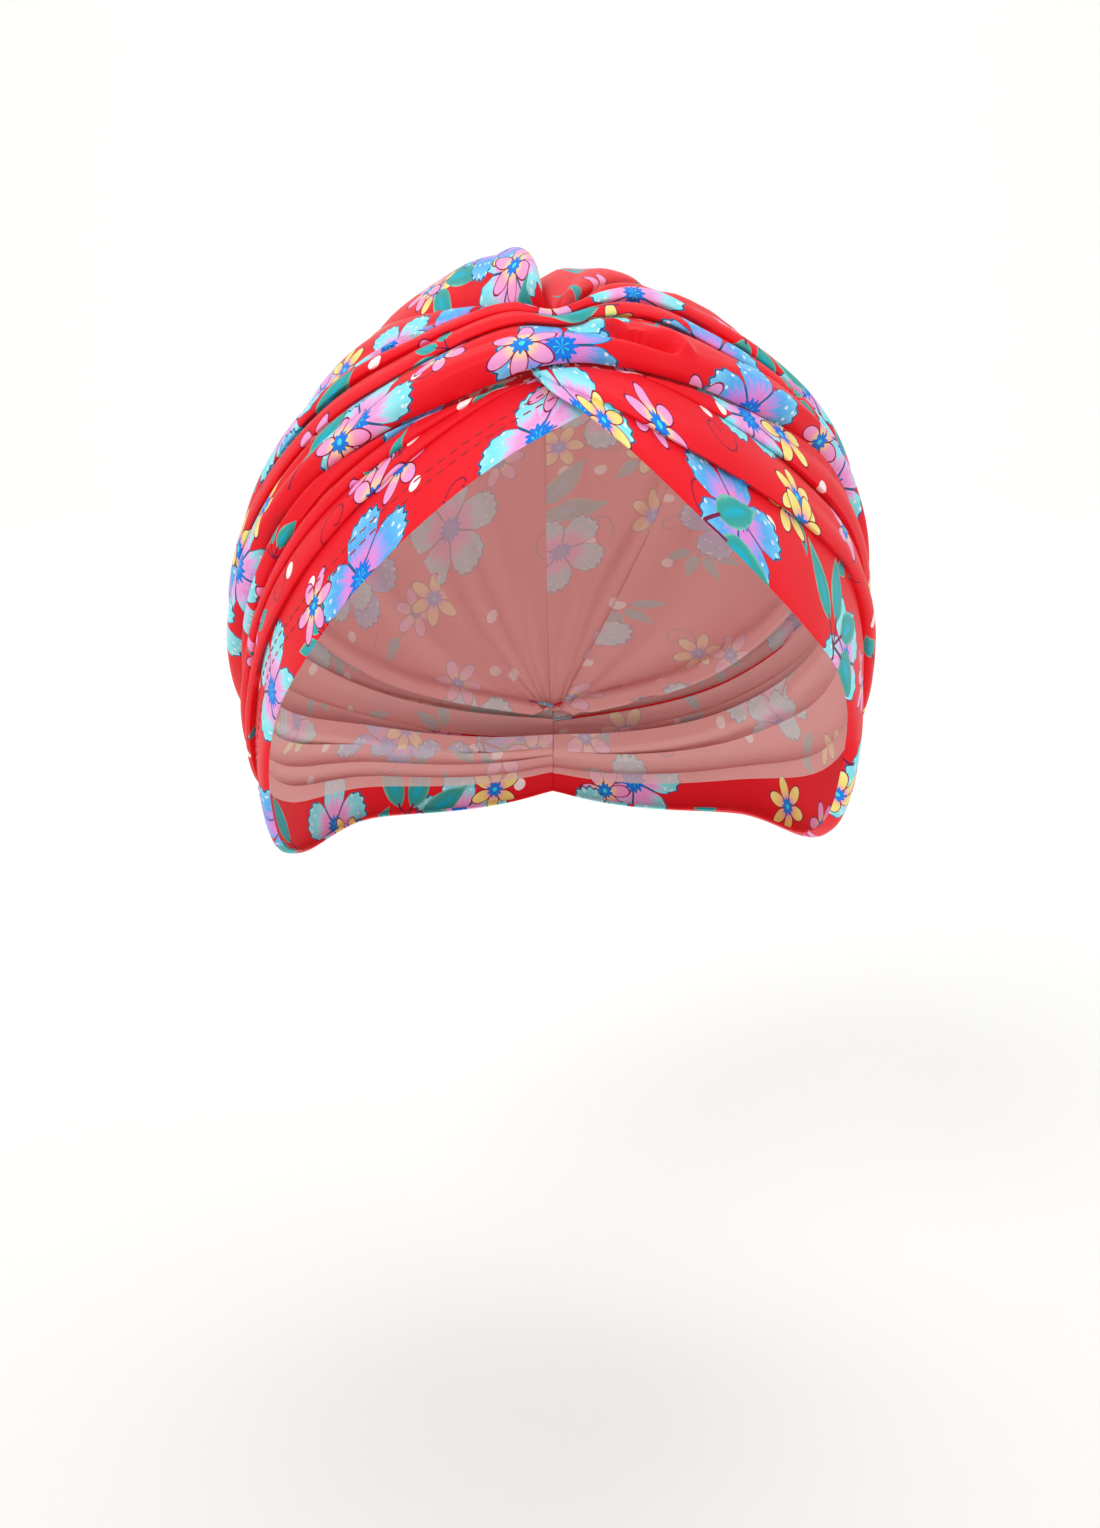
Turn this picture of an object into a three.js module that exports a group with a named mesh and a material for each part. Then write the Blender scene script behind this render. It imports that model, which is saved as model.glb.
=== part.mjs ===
// A pre-tied turban headwrap of stretch jersey, in the form that it has when it is worn.
// Four pieces of cloth lie over one another: a crown panel over the top and down the
// back, a brow panel down each side of the front opening, and a pleated band that crosses over the
// brow panels at the front and runs round both sides to the seam at the nape.
// Millimetres, +Z up, the opening faces -Y. The origin is the top of the hollow inside.
import * as THREE from "three";

// The hollow inside the wrap, a long dome
const HEAD_HALF_WIDTH = 77;
const HEAD_HALF_LENGTH = 97;
const CROWN_RISE = 84; // from the hollow's widest level up to its top
const FACE_DROP = 160; // how fast its front draws in below the widest level
const NAPE_DROP = 112; // the same at the back

// The cloth
const WALL = 1.8;
const HEAD_GAP = 0.6; // from the hollow's nominal surface out to the lowest layer
const TUCK = 4.5; // how far one panel runs under the next
const RAMP = 4; // over which a panel's folds rise beside a tucked edge
const SEAM_GAP = 0.6; // between the two sides at the nape seam
const CLOTH_RED = 0xe8303f;

// The shape of one fold, from its rolled lower edge to where it slides under the next
const ROLL = 0.55;
const FOLD_STEPS = [0, 0.09, 0.26, 0.6];
const CROWN_STEPS = [0, 0.06, 0.16, 0.3, 0.5, 0.75];

// Lines over the hollow. Each row is a place: share of the way from the front (0) to the nape
// seam (1, and -1 on the left from the front), degrees round from the front, degrees above level.
const LEFT_HEM = [
  { at: -1, turn: -180, rise: -40 },
  { at: -0.88, turn: -134, rise: -43 },
  { at: -0.77, turn: -98, rise: -43 },
  { at: -0.69, turn: -78, rise: -36 },
  { at: -0.62, turn: -67, rise: -24 },
  { at: -0.5, turn: -54, rise: -8 },
  { at: -0.38, turn: -42, rise: 4 },
  { at: -0.27, turn: -31, rise: 16 },
  { at: -0.17, turn: -20, rise: 27 },
  { at: -0.08, turn: -9, rise: 36 },
  { at: 0, turn: 5, rise: 44 },
  { at: 0.06, turn: 12, rise: 49 },
];
const RIGHT_HEM = [
  { at: -0.09, turn: -9, rise: 56 },
  { at: -0.04, turn: -1, rise: 48 },
  { at: 0, turn: 5, rise: 44 },
  { at: 0.08, turn: 12, rise: 38 },
  { at: 0.17, turn: 22, rise: 28 },
  { at: 0.27, turn: 33, rise: 18 },
  { at: 0.38, turn: 45, rise: 8 },
  { at: 0.5, turn: 60, rise: -3 },
  { at: 0.62, turn: 76, rise: -18 },
  { at: 0.69, turn: 82, rise: -31 },
  { at: 0.77, turn: 98, rise: -40 },
  { at: 0.88, turn: 134, rise: -42 },
  { at: 1, turn: 180, rise: -40 },
];
const BAND_LOW = [
  { at: -1, turn: -180, rise: -33 },
  { at: -0.88, turn: -138, rise: -30 },
  { at: -0.75, turn: -100, rise: -20 },
  { at: -0.62, turn: -78, rise: -4 },
  { at: -0.5, turn: -65, rise: 15 },
  { at: -0.38, turn: -52, rise: 31 },
  { at: -0.27, turn: -38, rise: 40 },
  { at: -0.17, turn: -24, rise: 46 },
  { at: -0.08, turn: -9, rise: 51 },
  { at: 0, turn: 5, rise: 53 },
  { at: 0.08, turn: 16, rise: 52 },
  { at: 0.17, turn: 28, rise: 50 },
  { at: 0.27, turn: 43, rise: 47 },
  { at: 0.38, turn: 60, rise: 42 },
  { at: 0.5, turn: 77, rise: 34 },
  { at: 0.62, turn: 91, rise: 15 },
  { at: 0.75, turn: 108, rise: -8 },
  { at: 0.88, turn: 140, rise: -27 },
  { at: 1, turn: 180, rise: -33 },
];
const BAND_TOP = [
  { at: -1, turn: -180, rise: -25 },
  { at: -0.88, turn: -143, rise: -16 },
  { at: -0.75, turn: -114, rise: 4 },
  { at: -0.62, turn: -95, rise: 24 },
  { at: -0.5, turn: -80, rise: 41 },
  { at: -0.38, turn: -65, rise: 53 },
  { at: -0.27, turn: -50, rise: 60 },
  { at: -0.17, turn: -35, rise: 65 },
  { at: -0.08, turn: -17, rise: 68 },
  { at: 0, turn: 0, rise: 64 },
  { at: 0.08, turn: 21, rise: 70 },
  { at: 0.17, turn: 50, rise: 73 },
  { at: 0.27, turn: 72, rise: 67 },
  { at: 0.38, turn: 83, rise: 57 },
  { at: 0.5, turn: 93, rise: 46 },
  { at: 0.62, turn: 104, rise: 29 },
  { at: 0.75, turn: 120, rise: 7 },
  { at: 0.88, turn: 147, rise: -15 },
  { at: 1, turn: 180, rise: -25 },
];
// The crown's middle line, in degrees from level at the front, over the top, to the nape
const CROWN_RIDGE = [
  { at: 0, arc: 57 },
  { at: 0.08, arc: 68 },
  { at: 0.17, arc: 78 },
  { at: 0.27, arc: 89 },
  { at: 0.38, arc: 101 },
  { at: 0.5, arc: 116 },
  { at: 0.62, arc: 133 },
  { at: 0.75, arc: 155 },
  { at: 0.88, arc: 181 },
  { at: 1, arc: 209 },
];

// Folds of each panel, lowest first (the crown's from the right). Each row has the share of
// the panel's width where the fold ends, on the left, at the front, on the right and at the
// nape, and then the fold's height in millimetres at the same four places.
const LEFT_BROW_FOLDS = [
  {
    ends: { left: 0.52, front: 0.68, right: 0.68, nape: 0.5 },
    puff: { left: 0.8, front: 0.3, right: 0.3, nape: 1 },
  },
  {
    ends: { left: 0.75, front: 0.85, right: 0.85, nape: 0.75 },
    puff: { left: 3.2, front: 0.4, right: 0.2, nape: 3 },
  },
  {
    ends: { left: 1, front: 1, right: 1, nape: 1 },
    puff: { left: 3.2, front: 0.4, right: 0.2, nape: 3 },
  },
];
const RIGHT_BROW_FOLDS = [
  {
    ends: { left: 0.3, front: 0.3, right: 0.55, nape: 0.4 },
    puff: { left: 0.3, front: 0.3, right: 0.8, nape: 1 },
  },
  {
    ends: { left: 0.7, front: 0.7, right: 0.8, nape: 0.7 },
    puff: { left: 2, front: 2, right: 4, nape: 3 },
  },
  {
    ends: { left: 1, front: 1, right: 1, nape: 1 },
    puff: { left: 2, front: 2, right: 3.5, nape: 3 },
  },
];
const BAND_FOLDS = [
  {
    ends: { left: 0.3, front: 0.48, right: 0.42, nape: 0.33 },
    puff: { left: 2, front: 2.8, right: 4.6, nape: 2.5 },
  },
  {
    ends: { left: 0.62, front: 0.76, right: 0.68, nape: 0.66 },
    puff: { left: 1.8, front: 2.5, right: 2.2, nape: 2.5 },
  },
  {
    ends: { left: 1, front: 1, right: 1, nape: 1 },
    puff: { left: 1.8, front: 2.2, right: 2, nape: 2.5 },
  },
];
const CROWN_FOLDS = [
  {
    ends: { left: 0.28, front: 0.28, right: 0.28, nape: 0.3 },
    puff: { left: 3, front: 3, right: 3, nape: 3 },
  },
  {
    ends: { left: 0.54, front: 0.54, right: 0.54, nape: 0.5 },
    puff: { left: 6, front: 5, right: 6, nape: 4 },
  },
  {
    ends: { left: 0.9, front: 0.84, right: 0.9, nape: 0.75 },
    puff: { left: 14, front: 12, right: 14, nape: 4 },
  },
  {
    ends: { left: 1, front: 1, right: 1, nape: 1 },
    puff: { left: 2, front: 4, right: 2, nape: 3 },
  },
];

// How high the underside of each panel lies above the hollow's surface
const BROW_LIFT = [
  { at: -1, left: HEAD_GAP, right: HEAD_GAP },
  { at: -0.2, left: HEAD_GAP, right: 3.5 },
  { at: 0.12, left: HEAD_GAP, right: 3.5 },
  { at: 0.3, left: HEAD_GAP, right: HEAD_GAP },
  { at: 1, left: HEAD_GAP, right: HEAD_GAP },
];
const BAND_LIFT = [
  { at: -1, lift: 4.7 },
  { at: -0.3, lift: 4 },
  { at: -0.1, lift: 6.8 },
  { at: 0.06, lift: 7.6 },
  { at: 0.18, lift: 5.8 },
  { at: 0.3, lift: 4.2 },
  { at: 1, lift: 4.7 },
];

// The dimple where the band turns in on itself beside the crossing
const DIMPLE = { turn: 25, rise: 53, radius: 8, depth: 3.5 };

const HEAD_CENTRE = new THREE.Vector3(0, 0, -CROWN_RISE);

function smooth(x) {
  const t = THREE.MathUtils.clamp(x, 0, 1);
  return t * t * (3 - 2 * t);
}

// The unit vector from the hollow's centre at so many degrees round and above level.
function heading(turn, rise) {
  const a = THREE.MathUtils.degToRad(turn);
  const b = THREE.MathUtils.degToRad(rise);
  return new THREE.Vector3(Math.cos(b) * Math.sin(a), -Math.cos(b) * Math.cos(a), Math.sin(b));
}

// How far the hollow's surface is from its centre along a unit vector.
function headRadius(dir) {
  const across = Math.hypot(dir.x, dir.y) || 1;
  const drop = THREE.MathUtils.lerp(FACE_DROP, NAPE_DROP, smooth(0.5 + dir.y / across / 2));
  const height = dir.z >= 0 ? CROWN_RISE : drop;
  const shares = [dir.x / HEAD_HALF_WIDTH, dir.y / HEAD_HALF_LENGTH, dir.z / height];
  return 1 / Math.hypot(...shares);
}

// A smooth curve through the rows of a table, for one number that each row gives.
function along(rows, at, value) {
  let i = rows.findIndex((row) => row.at >= at);
  i = THREE.MathUtils.clamp(i < 0 ? rows.length - 1 : i, 1, rows.length - 1);
  const [a, b] = [rows[i - 1], rows[i]];
  const slope = (k) => {
    const before = rows[Math.max(k - 1, 0)];
    const after = rows[Math.min(k + 1, rows.length - 1)];
    return (value(after) - value(before)) / (after.at - before.at);
  };
  const span = b.at - a.at;
  const t = THREE.MathUtils.clamp((at - a.at) / span, 0, 1);
  const rise = value(b) - value(a);
  const [m, n] = [slope(i - 1) * span, slope(i) * span];
  return value(a) + m * t + (3 * rise - 2 * m - n) * t ** 2 + (m + n - 2 * rise) * t ** 3;
}

// The direction at a share of the way along a line over the hollow.
function lineAt(rows, at) {
  const part = (axis) => along(rows, at, (row) => heading(row.turn, row.rise)[axis]);
  return new THREE.Vector3(part("x"), part("y"), part("z")).normalize();
}

// A unit vector moved towards another by a length on the hollow's surface.
function towards(from, to, length) {
  const angle = from.angleTo(to) || 1;
  const share = length / (headRadius(from) * angle);
  return from.clone().lerp(to, share).normalize();
}

// A number of a fold at a share of the way from the front to the nape.
function foldValue(numbers, at) {
  const side = at < 0 ? numbers.left : numbers.right;
  const toSide = smooth(Math.abs(at) / 0.35);
  const toNape = smooth((Math.abs(at) - 0.4) / 0.6);
  return THREE.MathUtils.lerp(THREE.MathUtils.lerp(numbers.front, side, toSide), numbers.nape, toNape);
}

// Share across a panel and height above its underside, at step k.t: t of the way over fold k.
function foldAt(folds, at, step) {
  const k = Math.min(Math.floor(step), folds.length - 1);
  const t = step - k;
  const low = k ? foldValue(folds[k - 1].ends, at) : 0;
  const high = foldValue(folds[k].ends, at);
  const height = foldValue(folds[k].puff, at) * Math.sin(Math.PI * t ** ROLL);
  return { share: low + (high - low) * t, height };
}

// The steps across a panel: the same few in each fold, and its top edge.
function stepsAcross(folds, steps) {
  return [...folds.flatMap((fold, k) => steps.map((t) => k + t)), folds.length];
}

// A closed wall from a function that gives its outer and inner face on a grid of places.
function wall(name, places, steps, faceAt) {
  const points = [];
  const [rows, columns] = [places.length, steps.length];
  for (const inner of [false, true]) {
    for (const at of places) {
      for (const step of steps) points.push(...faceAt(at, step, inner).toArray());
    }
  }
  const index = (inner, i, j) => (inner ? rows * columns : 0) + i * columns + j;
  const faces = [];
  const quad = (a, b, c, d) => faces.push(a, b, c, a, c, d);
  for (let i = 0; i < rows - 1; i++) {
    for (let j = 0; j < columns - 1; j++) {
      quad(index(false, i, j), index(false, i + 1, j), index(false, i + 1, j + 1), index(false, i, j + 1));
      quad(index(true, i, j), index(true, i, j + 1), index(true, i + 1, j + 1), index(true, i + 1, j));
    }
    quad(index(true, i, 0), index(true, i + 1, 0), index(false, i + 1, 0), index(false, i, 0));
    const j = columns - 1;
    quad(index(false, i, j), index(false, i + 1, j), index(true, i + 1, j), index(true, i, j));
  }
  for (let j = 0; j < columns - 1; j++) {
    const i = rows - 1;
    quad(index(false, 0, j), index(false, 0, j + 1), index(true, 0, j + 1), index(true, 0, j));
    quad(index(true, i, j), index(true, i, j + 1), index(false, i, j + 1), index(false, i, j));
  }
  const geometry = new THREE.BufferGeometry();
  geometry.setAttribute("position", new THREE.Float32BufferAttribute(points, 3));
  geometry.setIndex(faces);
  geometry.computeVertexNormals();
  const material = new THREE.MeshStandardMaterial({ color: CLOTH_RED, roughness: 0.55 });
  const mesh = new THREE.Mesh(geometry, material);
  mesh.name = name;
  return mesh;
}

// Evenly spaced places from one share of the way to another.
function spread(from, to, count) {
  return Array.from({ length: count }, (_, i) => from + ((to - from) * i) / (count - 1));
}

// A point of a panel, from its direction and its outer face's height above the hollow.
function onHead(dir, height, inner) {
  return dir
    .clone()
    .multiplyScalar(headRadius(dir) + height - (inner ? WALL : 0))
    .add(HEAD_CENTRE);
}

// The same for a panel whose end meets its neighbour's at the nape seam.
function onHalf(dir, height, inner, at) {
  const point = onHead(dir, height, inner);
  const side = Math.sign(at);
  if (Math.abs(at) > 0.9 && side * point.x < SEAM_GAP / 2) point.x = (side * SEAM_GAP) / 2;
  return point;
}

// How far the folds have risen at a distance from an edge that is tucked under another panel.
function besideTuck(distance) {
  return smooth((distance - TUCK) / RAMP);
}

function browPanel(name, hem, folds, side, places) {
  return wall(name, places, stepsAcross(folds, FOLD_STEPS), (at, step, inner) => {
    const low = lineAt(hem, at);
    const bandLow = lineAt(BAND_LOW, at);
    const top = towards(bandLow, lineAt(BAND_TOP, at), TUCK);
    const { share, height } = foldAt(folds, at, step);
    const dir = low.clone().lerp(top, share).normalize();
    const fromTop = dir.angleTo(top) * headRadius(dir);
    const lift = along(BROW_LIFT, at, (row) => row[side]);
    return onHalf(dir, lift + WALL + height * besideTuck(fromTop), inner, at);
  });
}

function crossingBand(name, places) {
  const dimple = heading(DIMPLE.turn, DIMPLE.rise);
  return wall(name, places, stepsAcross(BAND_FOLDS, FOLD_STEPS), (at, step, inner) => {
    const { share, height } = foldAt(BAND_FOLDS, at, step);
    const dir = lineAt(BAND_LOW, at).lerp(lineAt(BAND_TOP, at), share).normalize();
    const away = (dir.angleTo(dimple) * headRadius(dir)) / DIMPLE.radius;
    const dent = DIMPLE.depth * Math.exp(-(away ** 2));
    const lift = along(BAND_LIFT, at, (row) => row.lift);
    return onHalf(dir, lift + WALL + Math.max(height - dent, 0), inner, at);
  });
}

function crownPanel(name, places) {
  return wall(name, places, stepsAcross(CROWN_FOLDS, CROWN_STEPS), (at, step, inner) => {
    const [left, right] = [-at, at].map((side) =>
      towards(lineAt(BAND_TOP, side), lineAt(BAND_LOW, side), TUCK),
    );
    const arc = along(CROWN_RIDGE, at, (row) => row.arc);
    const ridge = heading(0, arc);
    const { share, height } = foldAt(CROWN_FOLDS, at, step);
    const v = 1 - 2 * share;
    const dir = left.clone().multiplyScalar((v * v - v) / 2);
    dir.addScaledVector(ridge, 1 - v * v).addScaledVector(right, (v * v + v) / 2).normalize();
    const edge = Math.min(dir.angleTo(left), dir.angleTo(right)) * headRadius(dir);
    return onHead(dir, HEAD_GAP + WALL + height * besideTuck(edge), inner);
  });
}

const turban = new THREE.Group();
turban.add(browPanel("left_brow_panel", LEFT_HEM, LEFT_BROW_FOLDS, "left", spread(-1, 0.05, 34)));
turban.add(browPanel("right_brow_panel", RIGHT_HEM, RIGHT_BROW_FOLDS, "right", spread(-0.08, 1, 34)));
turban.add(crossingBand("crossing_band", spread(-1, 1, 60)));
turban.add(crownPanel("crown_panel", spread(0.012, 0.988, 27)));

export default turban;
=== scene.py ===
"""A pre-tied turban headwrap of printed stretch jersey, in the form that it has when worn.

Lengths are in metres in Blender and in millimetres in the tables. The front opening faces -Y,
+Z is up, and the origin is the top of the hollow. Left and right are as seen from the front.
"""

import math

import bpy
import numpy as np
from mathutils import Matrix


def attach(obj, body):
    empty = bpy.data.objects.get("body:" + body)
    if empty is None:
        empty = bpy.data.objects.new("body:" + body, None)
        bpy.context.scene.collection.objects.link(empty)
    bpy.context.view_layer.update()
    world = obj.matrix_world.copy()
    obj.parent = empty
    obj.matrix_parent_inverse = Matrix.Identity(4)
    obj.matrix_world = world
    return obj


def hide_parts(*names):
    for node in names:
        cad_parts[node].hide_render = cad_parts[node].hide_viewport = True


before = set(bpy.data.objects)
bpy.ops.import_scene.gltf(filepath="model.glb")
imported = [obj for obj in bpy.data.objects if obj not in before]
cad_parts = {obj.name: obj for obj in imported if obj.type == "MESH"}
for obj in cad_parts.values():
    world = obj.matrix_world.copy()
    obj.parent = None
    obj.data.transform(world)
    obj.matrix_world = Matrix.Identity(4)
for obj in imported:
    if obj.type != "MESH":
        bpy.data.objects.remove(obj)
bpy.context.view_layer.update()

bl_info = {
    "name": "Turban headwrap",
    "version": (1, 0, 0),
    "blender": (4, 5, 0),
    "location": "View3D > Sidebar > Turban",
    "description": "Builds a worn turban of printed jersey, panel by panel",
    "category": "Add Mesh",
}

MM = 0.001

# The hollow inside the wrap, as in the part's source
HALF_WIDTH = 77.0
HALF_LENGTH = 97.0
CROWN_RISE = 84.0
FRONT_DROP = 160.0
NAPE_DROP = 112.0

# The cloth: how far one panel runs under the next, over what its folds rise beside that edge,
# how far the two sides lap and dip at the nape seam, and how far a pinched fold slides under
# the next
TUCK = 4.5
RAMP = 2.0
SEAM_LAP = 0.1
SEAM_DIP = 0.9
OVERLAP = 1.6

# Lines over the hollow: share of the way from the front (0) to the nape seam (1, and -1 on the
# left), degrees round from the front, degrees above level.
LEFT_HEM = [
    (-1, -180, -40),
    (-0.88, -134, -43),
    (-0.77, -98, -43),
    (-0.69, -78, -36),
    (-0.62, -67, -24),
    (-0.5, -54, -8),
    (-0.38, -42, 4),
    (-0.27, -31, 16),
    (-0.17, -20, 27),
    (-0.08, -9, 36),
    (0, 5, 44),
    (0.06, 12, 49),
]
RIGHT_HEM = [
    (-0.09, -9, 56),
    (-0.04, -1, 48),
    (0, 5, 44),
    (0.08, 12, 38),
    (0.17, 22, 28),
    (0.27, 33, 18),
    (0.38, 45, 8),
    (0.5, 60, -3),
    (0.62, 76, -18),
    (0.69, 82, -31),
    (0.77, 98, -40),
    (0.88, 134, -42),
    (1, 180, -40),
]
BAND_LOW = [
    (-1, -180, -33),
    (-0.88, -138, -30),
    (-0.75, -100, -20),
    (-0.62, -78, -4),
    (-0.5, -65, 15),
    (-0.38, -52, 31),
    (-0.27, -38, 40),
    (-0.17, -24, 46),
    (-0.08, -9, 51),
    (0, 5, 53),
    (0.08, 16, 52.2),
    (0.17, 28, 50.2),
    (0.27, 43, 47.2),
    (0.38, 60, 42),
    (0.5, 77, 34),
    (0.62, 91, 15),
    (0.75, 108, -8),
    (0.88, 140, -27),
    (1, 180, -33),
]
BAND_TOP = [
    (-1, -180, -25),
    (-0.88, -143, -16),
    (-0.75, -114, 4),
    (-0.62, -95, 24),
    (-0.5, -80, 41),
    (-0.38, -65, 53),
    (-0.27, -50, 60),
    (-0.17, -35, 65),
    (-0.08, -17, 68),
    (0, 0, 64),
    (0.08, 21, 70),
    (0.17, 50, 73),
    (0.27, 72, 67),
    (0.38, 83, 57),
    (0.5, 93, 46),
    (0.62, 104, 29),
    (0.75, 120, 7),
    (0.88, 147, -15),
    (1, 180, -25),
]
# The crown's middle line, in degrees from level at the front, over the top, to the nape
CROWN_RIDGE = [
    (0, 57),
    (0.08, 68),
    (0.17, 78),
    (0.27, 89),
    (0.38, 101),
    (0.5, 116),
    (0.62, 133),
    (0.75, 155),
    (0.88, 181),
    (1, 209),
]

# Places along a panel at which the fold tables give a number
STATIONS = (-1, -0.74, -0.5, -0.22, 0, 0.22, 0.5, 0.74, 1)
# A panel's last fold ends at its top edge and isn't pinched
TOP_EDGE = (1,) * len(STATIONS)
OPEN = (0,) * len(STATIONS)

# Folds, lowest first (the crown's from the right). "ends" is the share of the panel's width
# where a fold slides under the next, "hold" how sharply it is pinched there (0 to 1), and
# "puff" its height in millimetres.
LEFT_BROW_FOLDS = [
    {
        "ends": (0.42, 0.4, 0.38, 0.52, 0.84, 0.84, 0.84, 0.84, 0.84),
        "hold": (0.5, 0.6, 0.75, 0.8, 0, 0, 0, 0, 0),
        "puff": (1, 3.4, 1.4, 0.5, 0.3, 0.3, 0.3, 0.3, 0.3),
    },
    {
        "ends": (0.6, 0.58, 0.55, 0.68, 0.9, 0.9, 0.9, 0.9, 0.9),
        "hold": (0.4, 0.5, 0.6, 0.3, 0, 0, 0, 0, 0),
        "puff": (2, 4, 2.6, 1.8, 0.4, 0.4, 0.4, 0.4, 0.4),
    },
    {
        "ends": (0.78, 0.76, 0.73, 0.83, 0.95, 0.95, 0.95, 0.95, 0.95),
        "hold": (0.6, 0.8, 1, 0.8, 0, 0, 0, 0, 0),
        "puff": (2.5, 4, 2.8, 2.4, 0.4, 0.4, 0.4, 0.4, 0.4),
    },
    {
        "ends": TOP_EDGE,
        "hold": OPEN,
        "puff": (3, 3.6, 3, 2.6, 0.4, 0.4, 0.4, 0.4, 0.4),
    },
]
RIGHT_BROW_FOLDS = [
    {
        "ends": (0.3, 0.3, 0.3, 0.3, 0.28, 0.38, 0.44, 0.42, 0.4),
        "hold": (0, 0, 0, 0, 0.5, 0.9, 0.35, 0.4, 0.5),
        "puff": (0.3, 0.3, 0.3, 0.3, 0.6, 1.2, 2, 5, 1),
    },
    {
        "ends": (0.84, 0.84, 0.84, 0.84, 0.82, 0.75, 0.66, 0.68, 0.7),
        "hold": (0, 0, 0, 0, 0, 0.5, 0.9, 0.8, 0.6),
        "puff": (1, 1, 1, 1, 1.6, 3.2, 4.2, 6, 2.5),
    },
    {
        "ends": TOP_EDGE,
        "hold": OPEN,
        "puff": (1, 1, 1, 1, 1.4, 3, 4.4, 5.4, 3),
    },
]
BAND_FOLDS = [
    {
        "ends": (0.33, 0.34, 0.36, 0.47, 0.56, 0.5, 0.3, 0.32, 0.33),
        "hold": (0.8, 0.8, 0.8, 1, 0.9, 0.9, 1, 0.9, 0.8),
        "puff": (2.5, 2.4, 2.6, 2.6, 2.8, 4.8, 4.4, 3.4, 2.5),
    },
    {
        "ends": (0.66, 0.67, 0.68, 0.74, 0.78, 0.72, 0.62, 0.64, 0.66),
        "hold": (0.8, 0.8, 0.9, 0.6, 0.5, 0.6, 0.9, 0.8, 0.8),
        "puff": (2.5, 2.6, 2.8, 2.4, 2.4, 3.2, 4.6, 3.4, 2.5),
    },
    {
        "ends": TOP_EDGE,
        "hold": OPEN,
        "puff": (2.5, 2.8, 3, 2.8, 2.6, 4.4, 6, 3.4, 2.5),
    },
]
CROWN_FOLDS = [
    {
        "ends": (0.3, 0.3, 0.3, 0.3, 0.3, 0.32, 0.3, 0.3, 0.3),
        "hold": (0.5, 0.5, 0.5, 0.5, 0.8, 0.5, 0, 0, 0),
        "puff": (6, 6, 6, 6, 6, 6.5, 6, 5, 3),
    },
    {
        "ends": (0.59, 0.59, 0.59, 0.59, 0.59, 0.585, 0.55, 0.52, 0.5),
        "hold": (0.9, 0.9, 0.9, 0.9, 0.9, 0.9, 0.6, 0.3, 0),
        "puff": (7.5, 7.5, 7.5, 7.5, 7, 8, 8, 6, 4),
    },
    {
        "ends": (0.88, 0.88, 0.88, 0.88, 0.86, 0.87, 0.82, 0.78, 0.75),
        "hold": (0.3, 0.3, 0.3, 0.3, 0.4, 0.2, 0, 0, 0),
        "puff": (14, 14, 14, 14, 13, 14.5, 11, 7, 4),
    },
    {
        "ends": TOP_EDGE,
        "hold": OPEN,
        "puff": (5, 5, 5, 5, 5, 6, 6, 5, 3),
    },
]

# Short creases that begin and end on a panel: share along and across where one begins, the
# same where it ends, and its depth and half-width in millimetres
LEFT_BROW_CREASES = [
    (-0.6, 0.66, -0.2, 0.86, 1.2, 2.2),
    (-0.72, 0.88, -0.3, 0.9, 1.4, 2.2),
    (-0.8, 0.5, -0.36, 0.46, 0.9, 2.5),
    (-0.66, 0.2, -0.44, 0.26, 0.5, 3),
    (-0.3, 0.7, -0.05, 0.9, 0.6, 1.8),
]
RIGHT_BROW_CREASES = [
    (0.02, 0.5, 0.2, 0.56, 0.5, 2),
    (0.3, 0.82, 0.7, 0.84, 1.4, 2.2),
    (0.34, 0.55, 0.62, 0.54, 0.9, 2.5),
    (0.5, 0.25, 0.8, 0.3, 0.7, 3),
    (0.1, 0.16, 0.24, 0.22, 0.25, 2.5),
]
BAND_CREASES = [
    (-0.5, 0.2, -0.2, 0.26, 0.8, 1.8),
    (-0.4, 0.9, -0.12, 0.88, 0.9, 1.8),
    (-0.18, 0.28, 0.06, 0.4, 0.7, 1.5),
    (0.2, 0.84, 0.6, 0.84, 1.2, 2.2),
    (0.3, 0.14, 0.6, 0.18, 0.9, 2),
    (0.02, 0.24, 0.12, 0.3, 0.8, 1.4),
]
CROWN_CREASES = [
    (0.02, 0.7, 0.45, 0.67, 2.4, 4),
    (0.03, 0.8, 0.3, 0.79, 2.2, 3.5),
    (0.08, 0.93, 0.6, 0.92, 2, 3),
    (0.02, 0.46, 0.4, 0.42, 2.4, 3.5),
    (0.02, 0.22, 0.32, 0.16, 2, 3),
    (0.15, 0.1, 0.6, 0.08, 1.6, 3),
    (0.3, 0.24, 0.98, 0.2, 1.8, 4),
    (0.5, 0.42, 0.99, 0.42, 2.2, 4),
    (0.42, 0.66, 0.99, 0.62, 2, 4),
    (0.6, 0.88, 0.99, 0.86, 1.6, 3),
    (0.7, 0.3, 1, 0.34, 1.6, 2.5),
    (0.72, 0.7, 1, 0.68, 1.6, 2.5),
]

# One fold in cross-section, from its rolled lower edge to where it slides under the next:
# how far it is drawn under at either side, share of its width, share of its height
FOLD_PROFILE = [
    (0.00, 1.00, 0.00, 0.00, 0.00),
    (0.06, 0.35, 0.00, 0.00, 0.28),
    (0.13, -0.30, 0.00, 0.02, 0.58),
    (0.24, -0.20, 0.00, 0.11, 0.86),
    (0.40, 0.00, 0.00, 0.31, 1.00),
    (0.62, 0.00, 0.00, 0.58, 0.84),
    (0.84, 0.00, 0.10, 0.85, 0.44),
    (1.00, 0.00, 1.00, 1.00, 0.00),
]

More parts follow.
